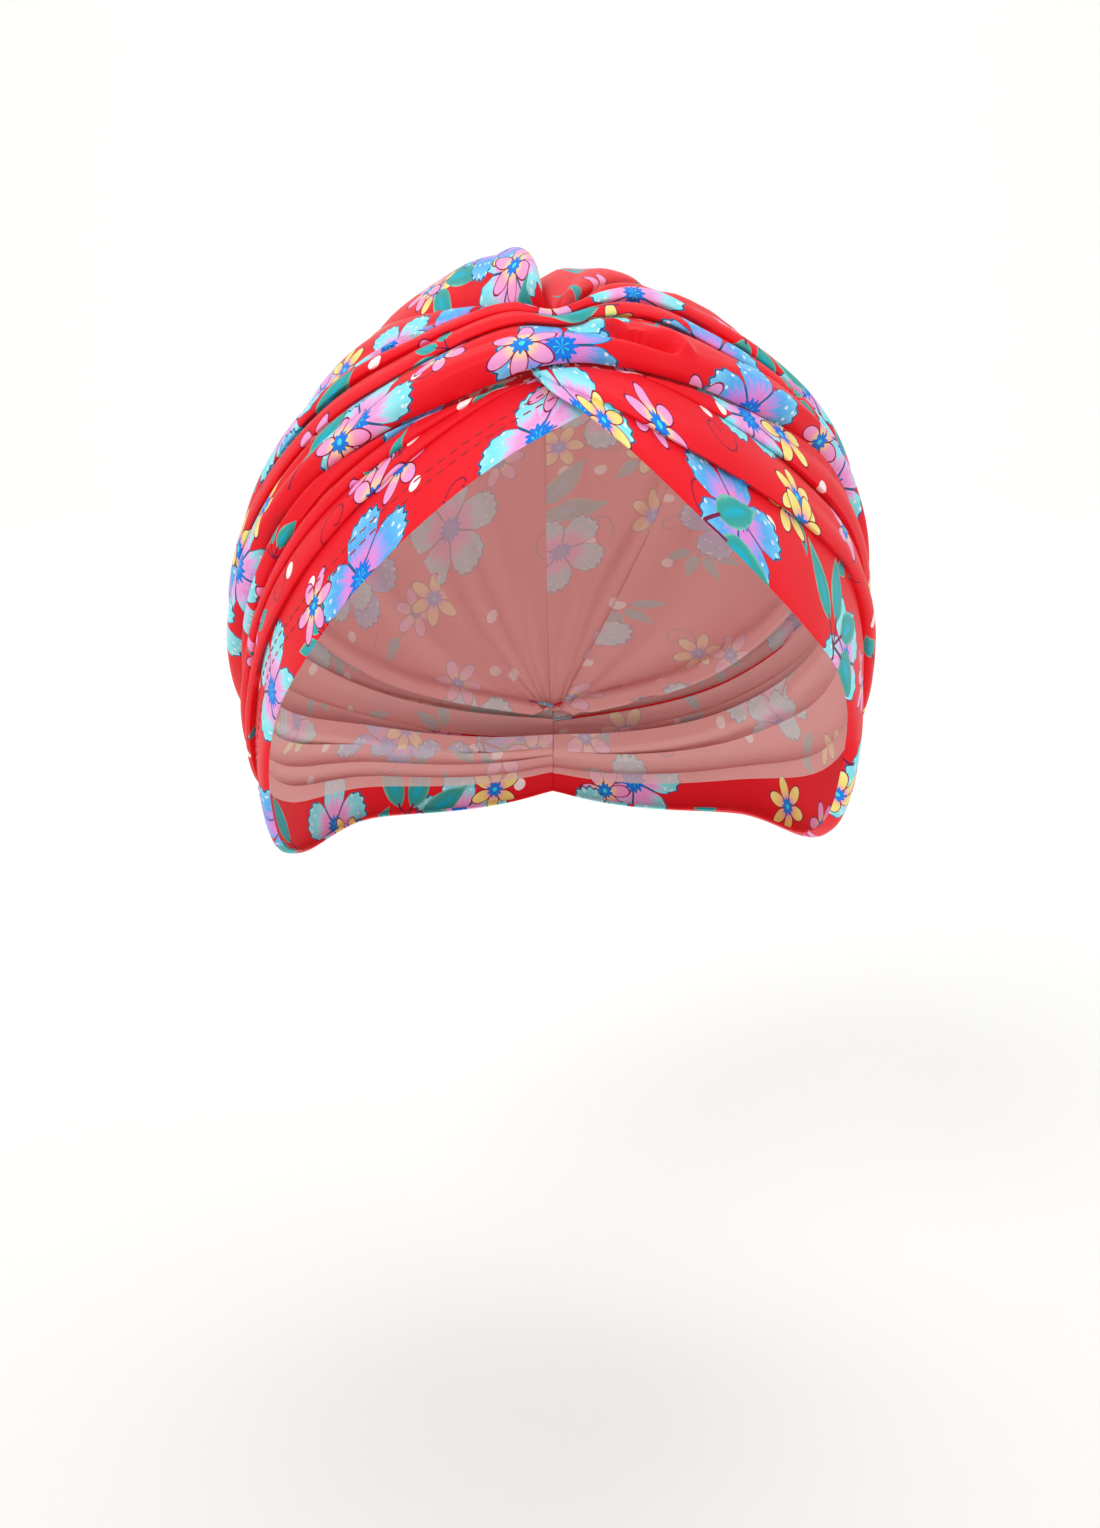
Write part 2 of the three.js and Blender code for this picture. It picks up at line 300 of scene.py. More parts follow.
# Underside of each panel above the hollow, in millimetres
LEFT_BROW_LIFT = [(-1, 0.6), (0.06, 0.6)]
RIGHT_BROW_LIFT = [(-0.2, 3.3), (0.12, 3.3), (0.3, 0.8), (1, 0.8)]
BAND_LIFT = [
    (-1, 4.7),
    (-0.3, 4.0),
    (-0.1, 6.8),
    (0.06, 7.6),
    (0.18, 5.8),
    (0.3, 4.2),
    (1, 4.7),
]
CROWN_LIFT = 0.8

# The two brow panels: first and last place along, seed of the gathers, and where the print
# begins on the cloth. Their hems are turned double over the first columns.
LEFT_BROW = {
    "hem": LEFT_HEM,
    "folds": LEFT_BROW_FOLDS,
    "creases": LEFT_BROW_CREASES,
    "lift": LEFT_BROW_LIFT,
    "places": (-1, 0.05),
    "seed": 11,
    "print": (0, 12),
}
RIGHT_BROW = {
    "hem": RIGHT_HEM,
    "folds": RIGHT_BROW_FOLDS,
    "creases": RIGHT_BROW_CREASES,
    "lift": RIGHT_BROW_LIFT,
    "places": (-0.062, 1),
    "seed": 23,
    "print": (210, 9),
}
HEM_COLUMNS = 12

# Rows along a panel and steps across each of its folds
BROW_GRID = (250, 14)
BAND_GRID = (320, 44)
CROWN_GRID = (230, 26)

# Seeds of the wander in the folds and in the gathers
BAND_SEEDS = (31, 37)
CROWN_SEEDS = (43, 47, 53)

# Cloth from the start of one fold's print to the next, and where the print begins
BROW_PITCH = 29
BAND_PITCH = 52
CROWN_PITCH = 61
BAND_PRINT = (103, 120)
CROWN_PRINT = (35, 300)
# How much of the print the brow panels hide between their folds, away from the front
BROW_CUT = 0.3

# How far in the band's low and top edges begin to turn down, and the crown's mean radius
LOW_ROLL = 2.2
TOP_ROLL = 2.5
CROWN_REACH = 90

# The left hem's two rows of stitches: in from the hem's folded edge, gap, thread radius
STITCH_ROWS = (10.0, 13.3)
STITCH_GAP = 0.9
THREAD_RADIUS = 0.17
THREAD_SIDES = 6
# One stitch: share of the way along, height above the cloth, share of the thread's radius
STITCH_RINGS = (
    (0.0, -0.3, 0.7),
    (0.12, 0.02, 1.0),
    (0.5, 0.08, 1.0),
    (0.88, 0.02, 1.0),
    (1.0, -0.3, 0.7),
)

# How far the band's two long edges stay above the hollow, where they turn down
BAND_EDGE = [
    (-1, 2.0),
    (-0.18, 2.0),
    (-0.11, 2.4),
    (-0.068, 4.3),
    (0.06, 4.8),
    (0.18, 4.4),
    (0.34, 2.4),
    (1, 2.2),
]

# The pocket where the left folds of the band run in under the right ones: where its middle is,
# which way it opens (degrees up from the left), and in millimetres its half-width, depth, the
# run of its sides, how far left it goes on, and the rim's height and width
POCKET = {
    "turn": 27,
    "rise": 53.6,
    "tilt": 24,
    "half": 3.6,
    "depth": 4.6,
    "side": 3.4,
    "length": 24,
    "rim": 1.9,
    "rim_width": 2.0,
}

# The line along which the left folds pass under the right ones: share across, share along
TUCK_LINE = [
    (0, 0.186),
    (0.1, 0.188),
    (0.17, 0.175),
    (0.21, 0.14),
    (0.24, 0.11),
    (0.29, 0.08),
    (0.42, 0.05),
    (0.8, 0.014),
    (1, -0.03),
]


def smooth(x):
    t = np.clip(x, 0.0, 1.0)
    return t * t * (3 - 2 * t)


def heading(turn, rise):
    """Unit vectors from the hollow's centre, so many degrees round and above level."""
    a, b = np.radians(turn), np.radians(rise)
    return np.stack([np.cos(b) * np.sin(a), -np.cos(b) * np.cos(a), np.sin(b)], -1)


def unit(v):
    return v / np.linalg.norm(v, axis=-1, keepdims=True)


def hollow_radius(d):
    """How far the hollow's surface is from its centre, in millimetres."""
    across = np.maximum(np.hypot(d[..., 0], d[..., 1]), 1e-9)
    back = smooth(0.5 + d[..., 1] / across / 2)
    drop = FRONT_DROP + (NAPE_DROP - FRONT_DROP) * back
    height = np.where(d[..., 2] >= 0, CROWN_RISE, drop)
    shares = [d[..., 0] / HALF_WIDTH, d[..., 1] / HALF_LENGTH, d[..., 2] / height]
    return 1 / np.sqrt(sum(s * s for s in shares))


def along(places, values, at):
    """A smooth curve through values at rising places, read at any places."""
    x, y = np.asarray(places, float), np.asarray(values, float)
    slopes = np.empty_like(y)
    slopes[1:-1] = (y[2:] - y[:-2]) / (x[2:] - x[:-2])
    slopes[0] = (y[1] - y[0]) / (x[1] - x[0])
    slopes[-1] = (y[-1] - y[-2]) / (x[-1] - x[-2])
    i = np.clip(np.searchsorted(x, at) - 1, 0, len(x) - 2)
    span = x[i + 1] - x[i]
    t = np.clip((at - x[i]) / span, 0, 1)
    climb = y[i + 1] - y[i]
    m, n = slopes[i] * span, slopes[i + 1] * span
    return y[i] + m * t + (3 * climb - 2 * m - n) * t**2 + (m + n - 2 * climb) * t**3


def line_at(rows, at):
    """Directions along a line over the hollow."""
    table = np.array(rows, float)
    dirs = heading(table[:, 1], table[:, 2])
    return unit(np.stack([along(table[:, 0], dirs[:, k], at) for k in range(3)], -1))


def table_at(rows, at):
    """A number that a table of (place, number) gives, read along a panel."""
    places, values = zip(*rows)
    return along(places, values, at)


def angle_between(a, b):
    return np.arccos(np.clip(np.sum(a * b, -1), -1, 1))


def run_along(line):
    """Distance from a line's first point to each of its points."""
    return np.concatenate([[0], np.cumsum(np.linalg.norm(np.diff(line, axis=0), axis=1))])


def spread(low, top, share):
    """Directions across a panel, from its low edge to its top edge."""
    return unit(low[:, None] + (top - low)[:, None] * share[..., None])


def towards(a, b, length):
    """Directions moved from a towards b by a length on the hollow's surface."""
    share = length / (hollow_radius(a) * np.maximum(angle_between(a, b), 1e-9))
    return unit(a + (b - a) * share[..., None])


def ripple(at, share, seed, count, low, high):
    """Fine lengthwise gathers: a few sine waves across the panel that wander along it."""
    rng = np.random.default_rng(seed)
    total = np.zeros(np.broadcast(at, share).shape)
    for _ in range(count):
        waves = rng.uniform(low, high)
        phase = rng.uniform(0, 2 * math.pi)
        wander = rng.uniform(0.6, 1.6) * np.sin(at * rng.uniform(4, 11) + rng.uniform(0, 6))
        swell = 0.55 + 0.45 * np.sin(at * rng.uniform(5, 16) + rng.uniform(0, 6))
        total = total + swell * np.sin(2 * math.pi * waves * share + phase + wander)
    return total / count


def fold_grid(folds, at, width, steps, seed, flat_low=False, flat_top=False):
    """Share across and height, for every place along and every step over every fold.

    Returns arrays of places by columns, where each fold has its own first and last column.
    """
    rng = np.random.default_rng(seed)
    t = np.linspace(0, 1, steps + 1) ** 1.25
    profile = np.array(FOLD_PROFILE)
    lead, tail, across, rise = [along(profile[:, 0], profile[:, k], t) for k in (1, 2, 3, 4)]
    shares, heights = [], []

    def clear_of(share):
        """No pinch where the panel's edge is pressed flat under its neighbour."""
        clear = smooth(((1 - share) * width - TUCK - 4) / 6) if flat_top else 1
        return clear * smooth((share * width - TUCK - 4) / 6) if flat_low else clear

    low, hold, valley = np.zeros_like(at), np.zeros_like(at), np.zeros_like(at)
    for k, fold in enumerate(folds):
        wander = 0.012 * np.sin(at * rng.uniform(9, 16) + rng.uniform(0, 6))
        swell = 1 + 0.14 * np.sin(at * rng.uniform(8, 15) + rng.uniform(0, 6))
        last = k == len(folds) - 1
        end = along(STATIONS, fold["ends"], at) + (0 if last else wander)
        held = np.clip(along(STATIONS, fold["hold"], at), 0, 1)
        puff = np.maximum(along(STATIONS, fold["puff"], at) * swell, 0.05)
        puff_next = puff if last else along(STATIONS, folds[k + 1]["puff"], at)
        top_valley = (1 - held) * 0.85 * np.minimum(puff, np.maximum(puff_next, 0.05))
        if last:
            top_valley = np.zeros_like(at)
        rise_low = smooth((puff - valley - 1) / 2.4)
        rise_top = smooth((puff_next - top_valley - 1) / 2.4)
        pull_low = OVERLAP * hold * rise_low * clear_of(low) / width
        pull_top = OVERLAP * held * rise_top * clear_of(end) / width
        share = low[:, None] + (end - low)[:, None] * across
        share = share + pull_low[:, None] * lead + pull_top[:, None] * tail
        floor = valley[:, None] * (1 - across) + top_valley[:, None] * across
        heights.append(floor + (puff[:, None] - floor) * rise)
        shares.append(share)
        low, hold, valley = end, held, top_valley
    return np.concatenate(shares, 1), np.concatenate(heights, 1)


def press_creases(height, at, share, width, creases):
    """Short creases: a narrow valley with a soft ridge beside it, fading at both ends."""
    for a0, s0, a1, s1, depth, wide in creases:
        q = np.clip((at - a0) / (a1 - a0), 0, 1)[:, None]
        centre = s0 + (s1 - s0) * smooth(q) + 0.01 * np.sin(q * 9 + a0 * 20)
        fade = np.sin(math.pi * q) ** 0.7
        off = (share - centre) * width[:, None] / wide
        height = height - depth * fade * np.exp(-np.abs(off) ** 1.3)
        height = height + 0.45 * depth * fade * np.exp(-((off - 1.7) ** 2))
    return height


def place_on_hollow(dirs, height):
    points = dirs * (hollow_radius(dirs) + height)[..., None]
    points[..., 2] -= CROWN_RISE
    return points


def hold_at_seam(points, at):
    """Brings the two sides together at the nape seam, where they dip in a little."""
    side = np.sign(at)[:, None]
    back = np.abs(at)[:, None] > 0.9
    away = np.maximum(side * points[..., 0], 0)
    dip = np.where(back, SEAM_DIP * np.exp(-away / 1.4), 0)
    points[..., 1] -= dip
    near = back & (away < SEAM_LAP)
    points[..., 0] = np.where(near, -side * SEAM_LAP / 2, points[..., 0])
    return points


def brow_surface(brow, at, steps):
    """Directions and heights of a brow panel, from its hem to its edge under the band."""
    low = line_at(brow["hem"], at)
    band_low = line_at(BAND_LOW, at)
    top = towards(band_low, line_at(BAND_TOP, at), TUCK)
    width = angle_between(low, top) * hollow_radius(low)
    share, height = fold_grid(brow["folds"], at, width, steps, brow["seed"], flat_top=True)
    height = press_creases(height, at, share, width, brow["creases"])
    reach = np.clip((share - 0.25) * 2, 0, 1) * smooth(np.abs(at) / 0.12)[:, None]
    height = height + 0.28 * reach * ripple(at[:, None], share, brow["seed"] + 5, 5, 3, 8)
    dirs = spread(low, top, share)
    from_top = angle_between(dirs, top[:, None]) * hollow_radius(dirs)
    height = np.maximum(height, 0) * smooth((from_top - TUCK) / RAMP)
    return dirs, table_at(brow["lift"], at)[:, None] + height


def grid_at(first, last, count):
    """Places along a panel, closer together at the front."""
    x = np.linspace(-1, 1, 4001)
    weight = 1 / (0.5 + np.minimum(np.abs(x) / 0.35, 1.3))
    inside = (x >= first - 1e-9) & (x <= last + 1e-9)
    x, weight = x[inside], weight[inside]
    run = np.concatenate([[0], np.cumsum((weight[1:] + weight[:-1]) / 2)])
    places = np.interp(np.linspace(0, run[-1], count), run, x)
    places[0], places[-1] = first, last
    return places


def cloth_uv(points, fold_count, steps, at, pitch, offset, cut=1.0):
    """Where each point was on the flat cloth, in metres: the print follows every fold and is
    cut where cloth is hidden between two folds. Cut is 0 where the folds lie open."""
    maps = []
    columns = steps + 1
    cut = np.broadcast_to(cut, at.shape)
    end = np.zeros(len(at))
    for k in range(fold_count):
        part = points[:, k * columns : (k + 1) * columns]
        across = np.linalg.norm(np.diff(part, axis=1), axis=2)
        start = pitch * k * cut + end * (1 - cut)
        v = start[:, None] + np.pad(np.cumsum(across, 1), ((0, 0), (1, 0)))
        end = v[:, -1]
        middle = part[:, columns // 2]
        run = run_along(middle)
        run = run - np.interp(0, at, run)
        u = np.repeat(run[:, None], columns, 1)
        maps.append(np.stack([u + offset[0] + 13 * k * cut[:, None], v + offset[1]], -1))
    return np.concatenate(maps, 1) * MM


def cloth_mesh(name, points, uv, fold_count, steps, hem=0):
    """A sheet from a grid of points. Columns that two folds share are merged.

    The first hem columns are turned double, so their reverse shows the printed face too.
    """
    rows = points.shape[0]
    keep = [j for j in range(points.shape[1]) if j % (steps + 1) or j == 0]
    spot = {j: n for n, j in enumerate(keep)}
    for k in range(1, fold_count):
        spot[k * (steps + 1)] = spot[k * (steps + 1) - 1]
    vertices = points[:, keep].reshape(-1, 3) * MM
    faces, corners, doubled = [], [], []
    for i in range(rows - 1):
        for k in range(fold_count):
            for j in range(k * (steps + 1), (k + 1) * (steps + 1) - 1):
                a, b = spot[j], spot[j + 1]
                faces.append(
                    (
                        i * len(keep) + a,
                        (i + 1) * len(keep) + a,
                        (i + 1) * len(keep) + b,
                        i * len(keep) + b,
                    )
                )
                corners += [(i, j), (i + 1, j), (i + 1, j + 1), (i, j + 1)]
                doubled.append(2 if j < hem else 0)
    mesh = bpy.data.meshes.new(name)
    mesh.from_pydata(vertices.tolist(), [], faces)
    layer = mesh.uv_layers.new(name="cloth")
    corners = np.array(corners)
    layer.data.foreach_set("uv", uv[corners[:, 0], corners[:, 1]].ravel())
    mesh.polygons.foreach_set("material_index", doubled)
    mesh.update()
    return new_object(name, mesh)


def new_object(name, data):
    piece = bpy.data.objects.new(name, data)
    bpy.context.scene.collection.objects.link(piece)
    return piece


def select_only(piece):
    bpy.ops.object.select_all(action="DESELECT")
    piece.select_set(True)
    bpy.context.view_layer.objects.active = piece


def smooth_piece(name, vertices, faces, material):
    mesh = bpy.data.meshes.new(name)
    mesh.from_pydata(vertices, [], faces)
    mesh.update()
    mesh.materials.append(material)
    piece = new_object(name, mesh)
    select_only(piece)
    bpy.ops.object.shade_smooth()
    piece.select_set(False)
    return piece


def finish_cloth(piece, settings, printed_edge=True):
    """Gives a sheet its thickness, with the print on its outside."""
    face, reverse = cloth_materials(settings)
    index = [part.material_index for part in piece.data.polygons]
    for material in (face, reverse, face, face):
        piece.data.materials.append(material)
    piece.data.polygons.foreach_set("material_index", index)
    select_only(piece)
    wall = piece.modifiers.new("thickness", "SOLIDIFY")
    wall.thickness = settings.cloth_thickness
    wall.offset = -1
    wall.material_offset = 1
    wall.material_offset_rim = 0 if printed_edge else 1
    bpy.ops.object.modifier_apply(modifier=wall.name)
    bpy.ops.object.shade_smooth_by_angle(angle=math.radians(50))
    piece.select_set(False)


def srgb(hex_colour):
    """A hex colour as linear red, green, blue and alpha."""
    parts = [int(hex_colour[i : i + 2], 16) / 255 for i in (1, 3, 5)]
    linear = [c / 12.92 if c <= 0.04045 else ((c + 0.055) / 1.055) ** 2.4 for c in parts]
    return (*linear, 1.0)


def first_output(value):
    if isinstance(value, bpy.types.Node):
        return next(o for o in value.outputs if o.enabled)
    return value


def add(tree, kind, settings, *values):
    """Adds a node with its settings and fills its open inputs in order. None skips one.

    The settings are a dict, or just the name of the node's operation. "stops" in them are the
    places and hex colours of a colour ramp.
    """
    made = tree.nodes.new(kind)
    if isinstance(settings, str):
        settings = {"operation": settings}
    for name, value in settings.items():
        if name == "stops":
            place_stops(made.color_ramp.elements, value)
        else:
            setattr(made, name, value)
    for socket, value in zip([s for s in made.inputs if s.enabled], values):
        value = first_output(value)
        if isinstance(value, bpy.types.NodeSocket):
            tree.links.new(value, socket)
        elif value is not None:
            socket.default_value = value
    return made


def place_stops(spots, stops):
    while len(spots) < len(stops):
        spots.new(0.5)
    for spot, (place, colour) in zip(spots, stops):
        spot.position = place
        spot.color = srgb(colour)


def chain(tree, kind, value, *steps):
    """Adds a row of nodes, each with an operation and values, every one on the last's output."""
    for operation, *values in steps:
        value = add(tree, kind, operation, value, *values)
    return value


def fill(node, values):
    for name, value in values.items():
        node.inputs[name].default_value = value


def link(tree, value, socket):
    tree.links.new(first_output(value), socket)


MATH = "ShaderNodeMath"
VECTOR = "ShaderNodeVectorMath"
MIX = "ShaderNodeMix"
TINT = {"data_type": "RGBA"}
GROUP = "ShaderNodeGroup"
NOISE = "ShaderNodeTexNoise"
BLEND = "ShaderNodeValToRGB"
SPLIT = "ShaderNodeSeparateXYZ"


def new_group(name, inputs, outputs):
    tree = bpy.data.node_groups.new(name, "ShaderNodeTree")
    for kind, label in inputs:
        tree.interface.new_socket(label, in_out="INPUT", socket_type=kind)
    for kind, label in outputs:
        tree.interface.new_socket(label, in_out="OUTPUT", socket_type=kind)
    start = tree.nodes.new("NodeGroupInput")
    end = tree.nodes.new("NodeGroupOutput")
    return tree, start, end


FLOAT = "NodeSocketFloat"
VEC = "NodeSocketVector"
COLOUR = "NodeSocketColor"


def new_motif(name):
    """A group for one motif: a place on it and its seed in, a colour and its mask out."""
    inputs = [(VEC, "Local"), (FLOAT, "Seed")]
    return new_group(name, inputs, [(COLOUR, "Colour"), (FLOAT, "Mask")])


def finish_motif(tree, end, colour, mask):
    link(tree, colour, end.inputs["Colour"])
    link(tree, mask, end.inputs["Mask"])
    return tree


def scatter_group():
    """Repeats a motif over the cloth: one in each square cell, moved, turned and left out at
    random, and never cut by its cell's edge."""
    tree, start, end = new_group(
        "print scatter",
        [
            (VEC, "Cloth"),
            (VEC, "Shift"),
            (FLOAT, "Cell"),
            (FLOAT, "Radius"),
            (FLOAT, "Stray"),
            (FLOAT, "Share"),
        ],
        [(VEC, "Local"), (FLOAT, "Seed"), (FLOAT, "Here")],
    )
    cloth, shift, cell, radius, stray, share = [start.outputs[k] for k in range(6)]
    moved = add(tree, VECTOR, "ADD", cloth, shift)
    inverse = add(tree, MATH, "DIVIDE", 1.0, cell)
    cells = add(tree, VECTOR, "SCALE", moved, inverse)
    index = add(tree, VECTOR, "FLOOR", cells)
    inside = add(tree, VECTOR, "FRACTION", cells)
    centred = add(tree, VECTOR, "SUBTRACT", inside, (0.5, 0.5, 0.0))
    key = add(tree, VECTOR, "ADD", index, shift)
    noise = add(tree, "ShaderNodeTexWhiteNoise", {"noise_dimensions": "3D"}, key)
    roll = noise.outputs["Color"]
    nudge = chain(tree, VECTOR, roll, ("SUBTRACT", (0.5, 0.5, 0.5)), ("SCALE", stray))
    local = add(tree, VECTOR, "SUBTRACT", centred, nudge)
    scale = add(tree, MATH, "DIVIDE", cell, radius)
    local = chain(tree, VECTOR, local, ("SCALE", scale), ("MULTIPLY", (1.0, 1.0, 0.0)))
    split = add(tree, SPLIT, {}, roll)
    angle = add(tree, MATH, "MULTIPLY", split.outputs[2], 6.2832)
    turned = add(tree, "ShaderNodeVectorRotate", {"rotation_type": "Z_AXIS"}, local)
    link(tree, angle, turned.inputs["Angle"])
    here = add(tree, MATH, "LESS_THAN", noise.outputs["Value"], share)
    seed = chain(tree, MATH, split.outputs[0], ("ADD", split.outputs[1]), ("FRACT",))
    link(tree, turned, end.inputs["Local"])
    link(tree, seed, end.inputs["Seed"])
    link(tree, here, end.inputs["Here"])
    return tree


def polar(tree, local):
    """Distance and direction of a point from the middle of its motif."""
    split = add(tree, SPLIT, {}, local)
    reach = add(tree, VECTOR, "LENGTH", local).outputs["Value"]
    angle = add(tree, MATH, "ARCTAN2", split.outputs[1], split.outputs[0])
    return reach, angle


def along_and_aside(tree, reach, angle):
    """How far a point lies along a line out of the middle, and beside it."""
    cosine = add(tree, MATH, "COSINE", angle)
    sine = add(tree, MATH, "SINE", angle)
    out = add(tree, MATH, "MULTIPLY", reach, cosine)
    return out, add(tree, MATH, "MULTIPLY", reach, sine)


def jagged_eye(tree, reach, angle, teeth, depth, size):
    jag = chain(tree, MATH, angle, ("MULTIPLY", teeth), ("SINE",))
    edge = add(tree, MATH, "MULTIPLY_ADD", jag, depth, size)
    return add(tree, MATH, "LESS_THAN", reach, edge)


def lay_over(tree, colour, layers):
    """Lays plain colours over a colour one by one, each where its mask is."""
    for mask, shade in layers:
        colour = add(tree, MIX, TINT, mask, colour, srgb(shade))
    return colour


# Colours from a bloom's middle out to its tips, on the pale ones and the deep ones
PALE_BLOOM = [
    (0.12, "#F7B4E6"),
    (0.3, "#F39BD8"),
    (0.44, "#EDB8EC"),
    (0.56, "#9DEBF4"),
    (0.8, "#7FE6F0"),
    (1.0, "#A6F4F6"),
]
DEEP_BLOOM = [
    (0.12, "#E77FD2"),
    (0.3, "#E98FDA"),
    (0.42, "#B49BF0"),
    (0.58, "#55AEF2"),
    (0.8, "#6CC4F5"),
    (1.0, "#8FD9F5"),
]


def bloom_group():
    """A broad flower: five frilled petals, a pink throat with fine rays, a jagged blue eye."""
    tree, start, end = new_motif("print bloom")
    local, seed = start.outputs[0], start.outputs[1]
    reach, angle = polar(tree, local)
    turns = chain(tree, MATH, angle, ("MULTIPLY", 5 / (2 * math.pi)), ("FRACT",))
    aside = chain(tree, MATH, turns, ("SUBTRACT", 0.5), ("ABSOLUTE",), ("MULTIPLY", 2.0))
    notch = add(tree, MATH, "POWER", aside, 3.0)
    edge = add(tree, MATH, "MULTIPLY_ADD", notch, -0.5, 0.95)
    frill = chain(tree, MATH, angle, ("MULTIPLY", 37.0), ("SINE",))
    edge = add(tree, MATH, "MULTIPLY_ADD", frill, 0.025, edge)
    mask = add(tree, MATH, "LESS_THAN", reach, edge)
    # outline and the lines between petals
    near = add(tree, MATH, "SUBTRACT", edge, reach)
    rim = add(tree, MATH, "LESS_THAN", near, 0.04)
    between = chain(tree, MATH, 1.0, ("SUBTRACT", aside), ("MULTIPLY", reach), ("LESS_THAN", 0.03))
    lines = add(tree, MATH, "MAXIMUM", rim, between)
    # rays that run out of the throat
    ray_at = add(tree, "ShaderNodeCombineXYZ", {}, angle, reach, seed)
    ray_at = add(tree, VECTOR, "MULTIPLY", ray_at, (9.0, 1.2, 20.0))
    rays = add(tree, NOISE, {"noise_dimensions": "3D"}, ray_at, 1.0, 2.0, 0.6).outputs[0]
    rays = add(tree, MATH, "SUBTRACT", rays, 0.5)
    shade = add(tree, MATH, "MULTIPLY_ADD", rays, 0.55, reach)
    pale = add(tree, BLEND, {"stops": PALE_BLOOM}, shade)
    deep = add(tree, BLEND, {"stops": DEEP_BLOOM}, shade)
    kind = add(tree, MATH, "GREATER_THAN", seed, 0.6)
    colour = add(tree, MIX, TINT, kind, pale, deep)
    # white flecks near the tips
    flecks = add(tree, "ShaderNodeTexVoronoi", {"voronoi_dimensions": "2D"}, local, 5.5)
    flecks = add(tree, MATH, "LESS_THAN", flecks.outputs["Distance"], 0.17)
    outer = add(tree, MATH, "GREATER_THAN", reach, 0.6)
    flecks = chain(tree, MATH, flecks, ("MULTIPLY", outer), ("MULTIPLY", 0.75))
    # jagged blue eye with pale stamens
    eye = jagged_eye(tree, reach, angle, 13.0, 0.035, 0.2)
    spoke = chain(
        tree, MATH, angle, ("MULTIPLY", 3.5), ("SINE",), ("ABSOLUTE",), ("LESS_THAN", 0.3)
    )
    core = add(tree, MATH, "LESS_THAN", reach, 0.11)
    spoke = add(tree, MATH, "MULTIPLY", spoke, core)
    layers = [(flecks, "#F2FBFF"), (lines, "#1F5F8C"), (eye, "#147BE6"), (spoke, "#3FE3EA")]
    colour = lay_over(tree, colour, layers)
    return finish_motif(tree, end, colour, mask)


def daisy_group():
    """A small flower: six long petals in yellow and pink, outlined in maroon, a blue eye."""
    tree, start, end = new_motif("print daisy")
    local, seed = start.outputs[0], start.outputs[1]
    reach, angle = polar(tree, local)
    turns = chain(tree, MATH, angle, ("MULTIPLY", 6 / (2 * math.pi)), ("FRACT",))
    aside = chain(tree, MATH, turns, ("SUBTRACT", 0.5), ("MULTIPLY", 2 * math.pi / 6))
    out, side = along_and_aside(tree, reach, aside)
    out = add(tree, MATH, "MULTIPLY_ADD", out, 1 / 0.42, -0.55 / 0.42)
    side = add(tree, MATH, "MULTIPLY", side, 1 / 0.235)
    out = add(tree, MATH, "MULTIPLY", out, out)
    side = add(tree, MATH, "MULTIPLY", side, side)
    oval = add(tree, MATH, "ADD", out, side)
    petal = add(tree, MATH, "LESS_THAN", oval, 1.0)
    rim = add(tree, MATH, "GREATER_THAN", oval, 0.74)
    stops = [(0.2, "#F29AC8"), (0.5, "#FBE27A"), (0.95, "#FDF0A0")]
    yellow = add(tree, BLEND, {"stops": stops}, reach)
    stops = [(0.2, "#FBE88A"), (0.5, "#F8A6D2"), (0.95, "#F5A0E0")]
    pink = add(tree, BLEND, {"stops": stops}, reach)
    kind = add(tree, MATH, "GREATER_THAN", seed, 0.5)
    colour = add(tree, MIX, TINT, kind, yellow, pink)
    eye = jagged_eye(tree, reach, angle, 9.0, 0.05, 0.25)
    core = add(tree, MATH, "LESS_THAN", reach, 0.08)
    layers = [(rim, "#8E1238"), (eye, "#1480EA"), (core, "#45DDF0")]
    colour = lay_over(tree, colour, layers)
    mask = add(tree, MATH, "MAXIMUM", petal, eye)
    return finish_motif(tree, end, colour, mask)


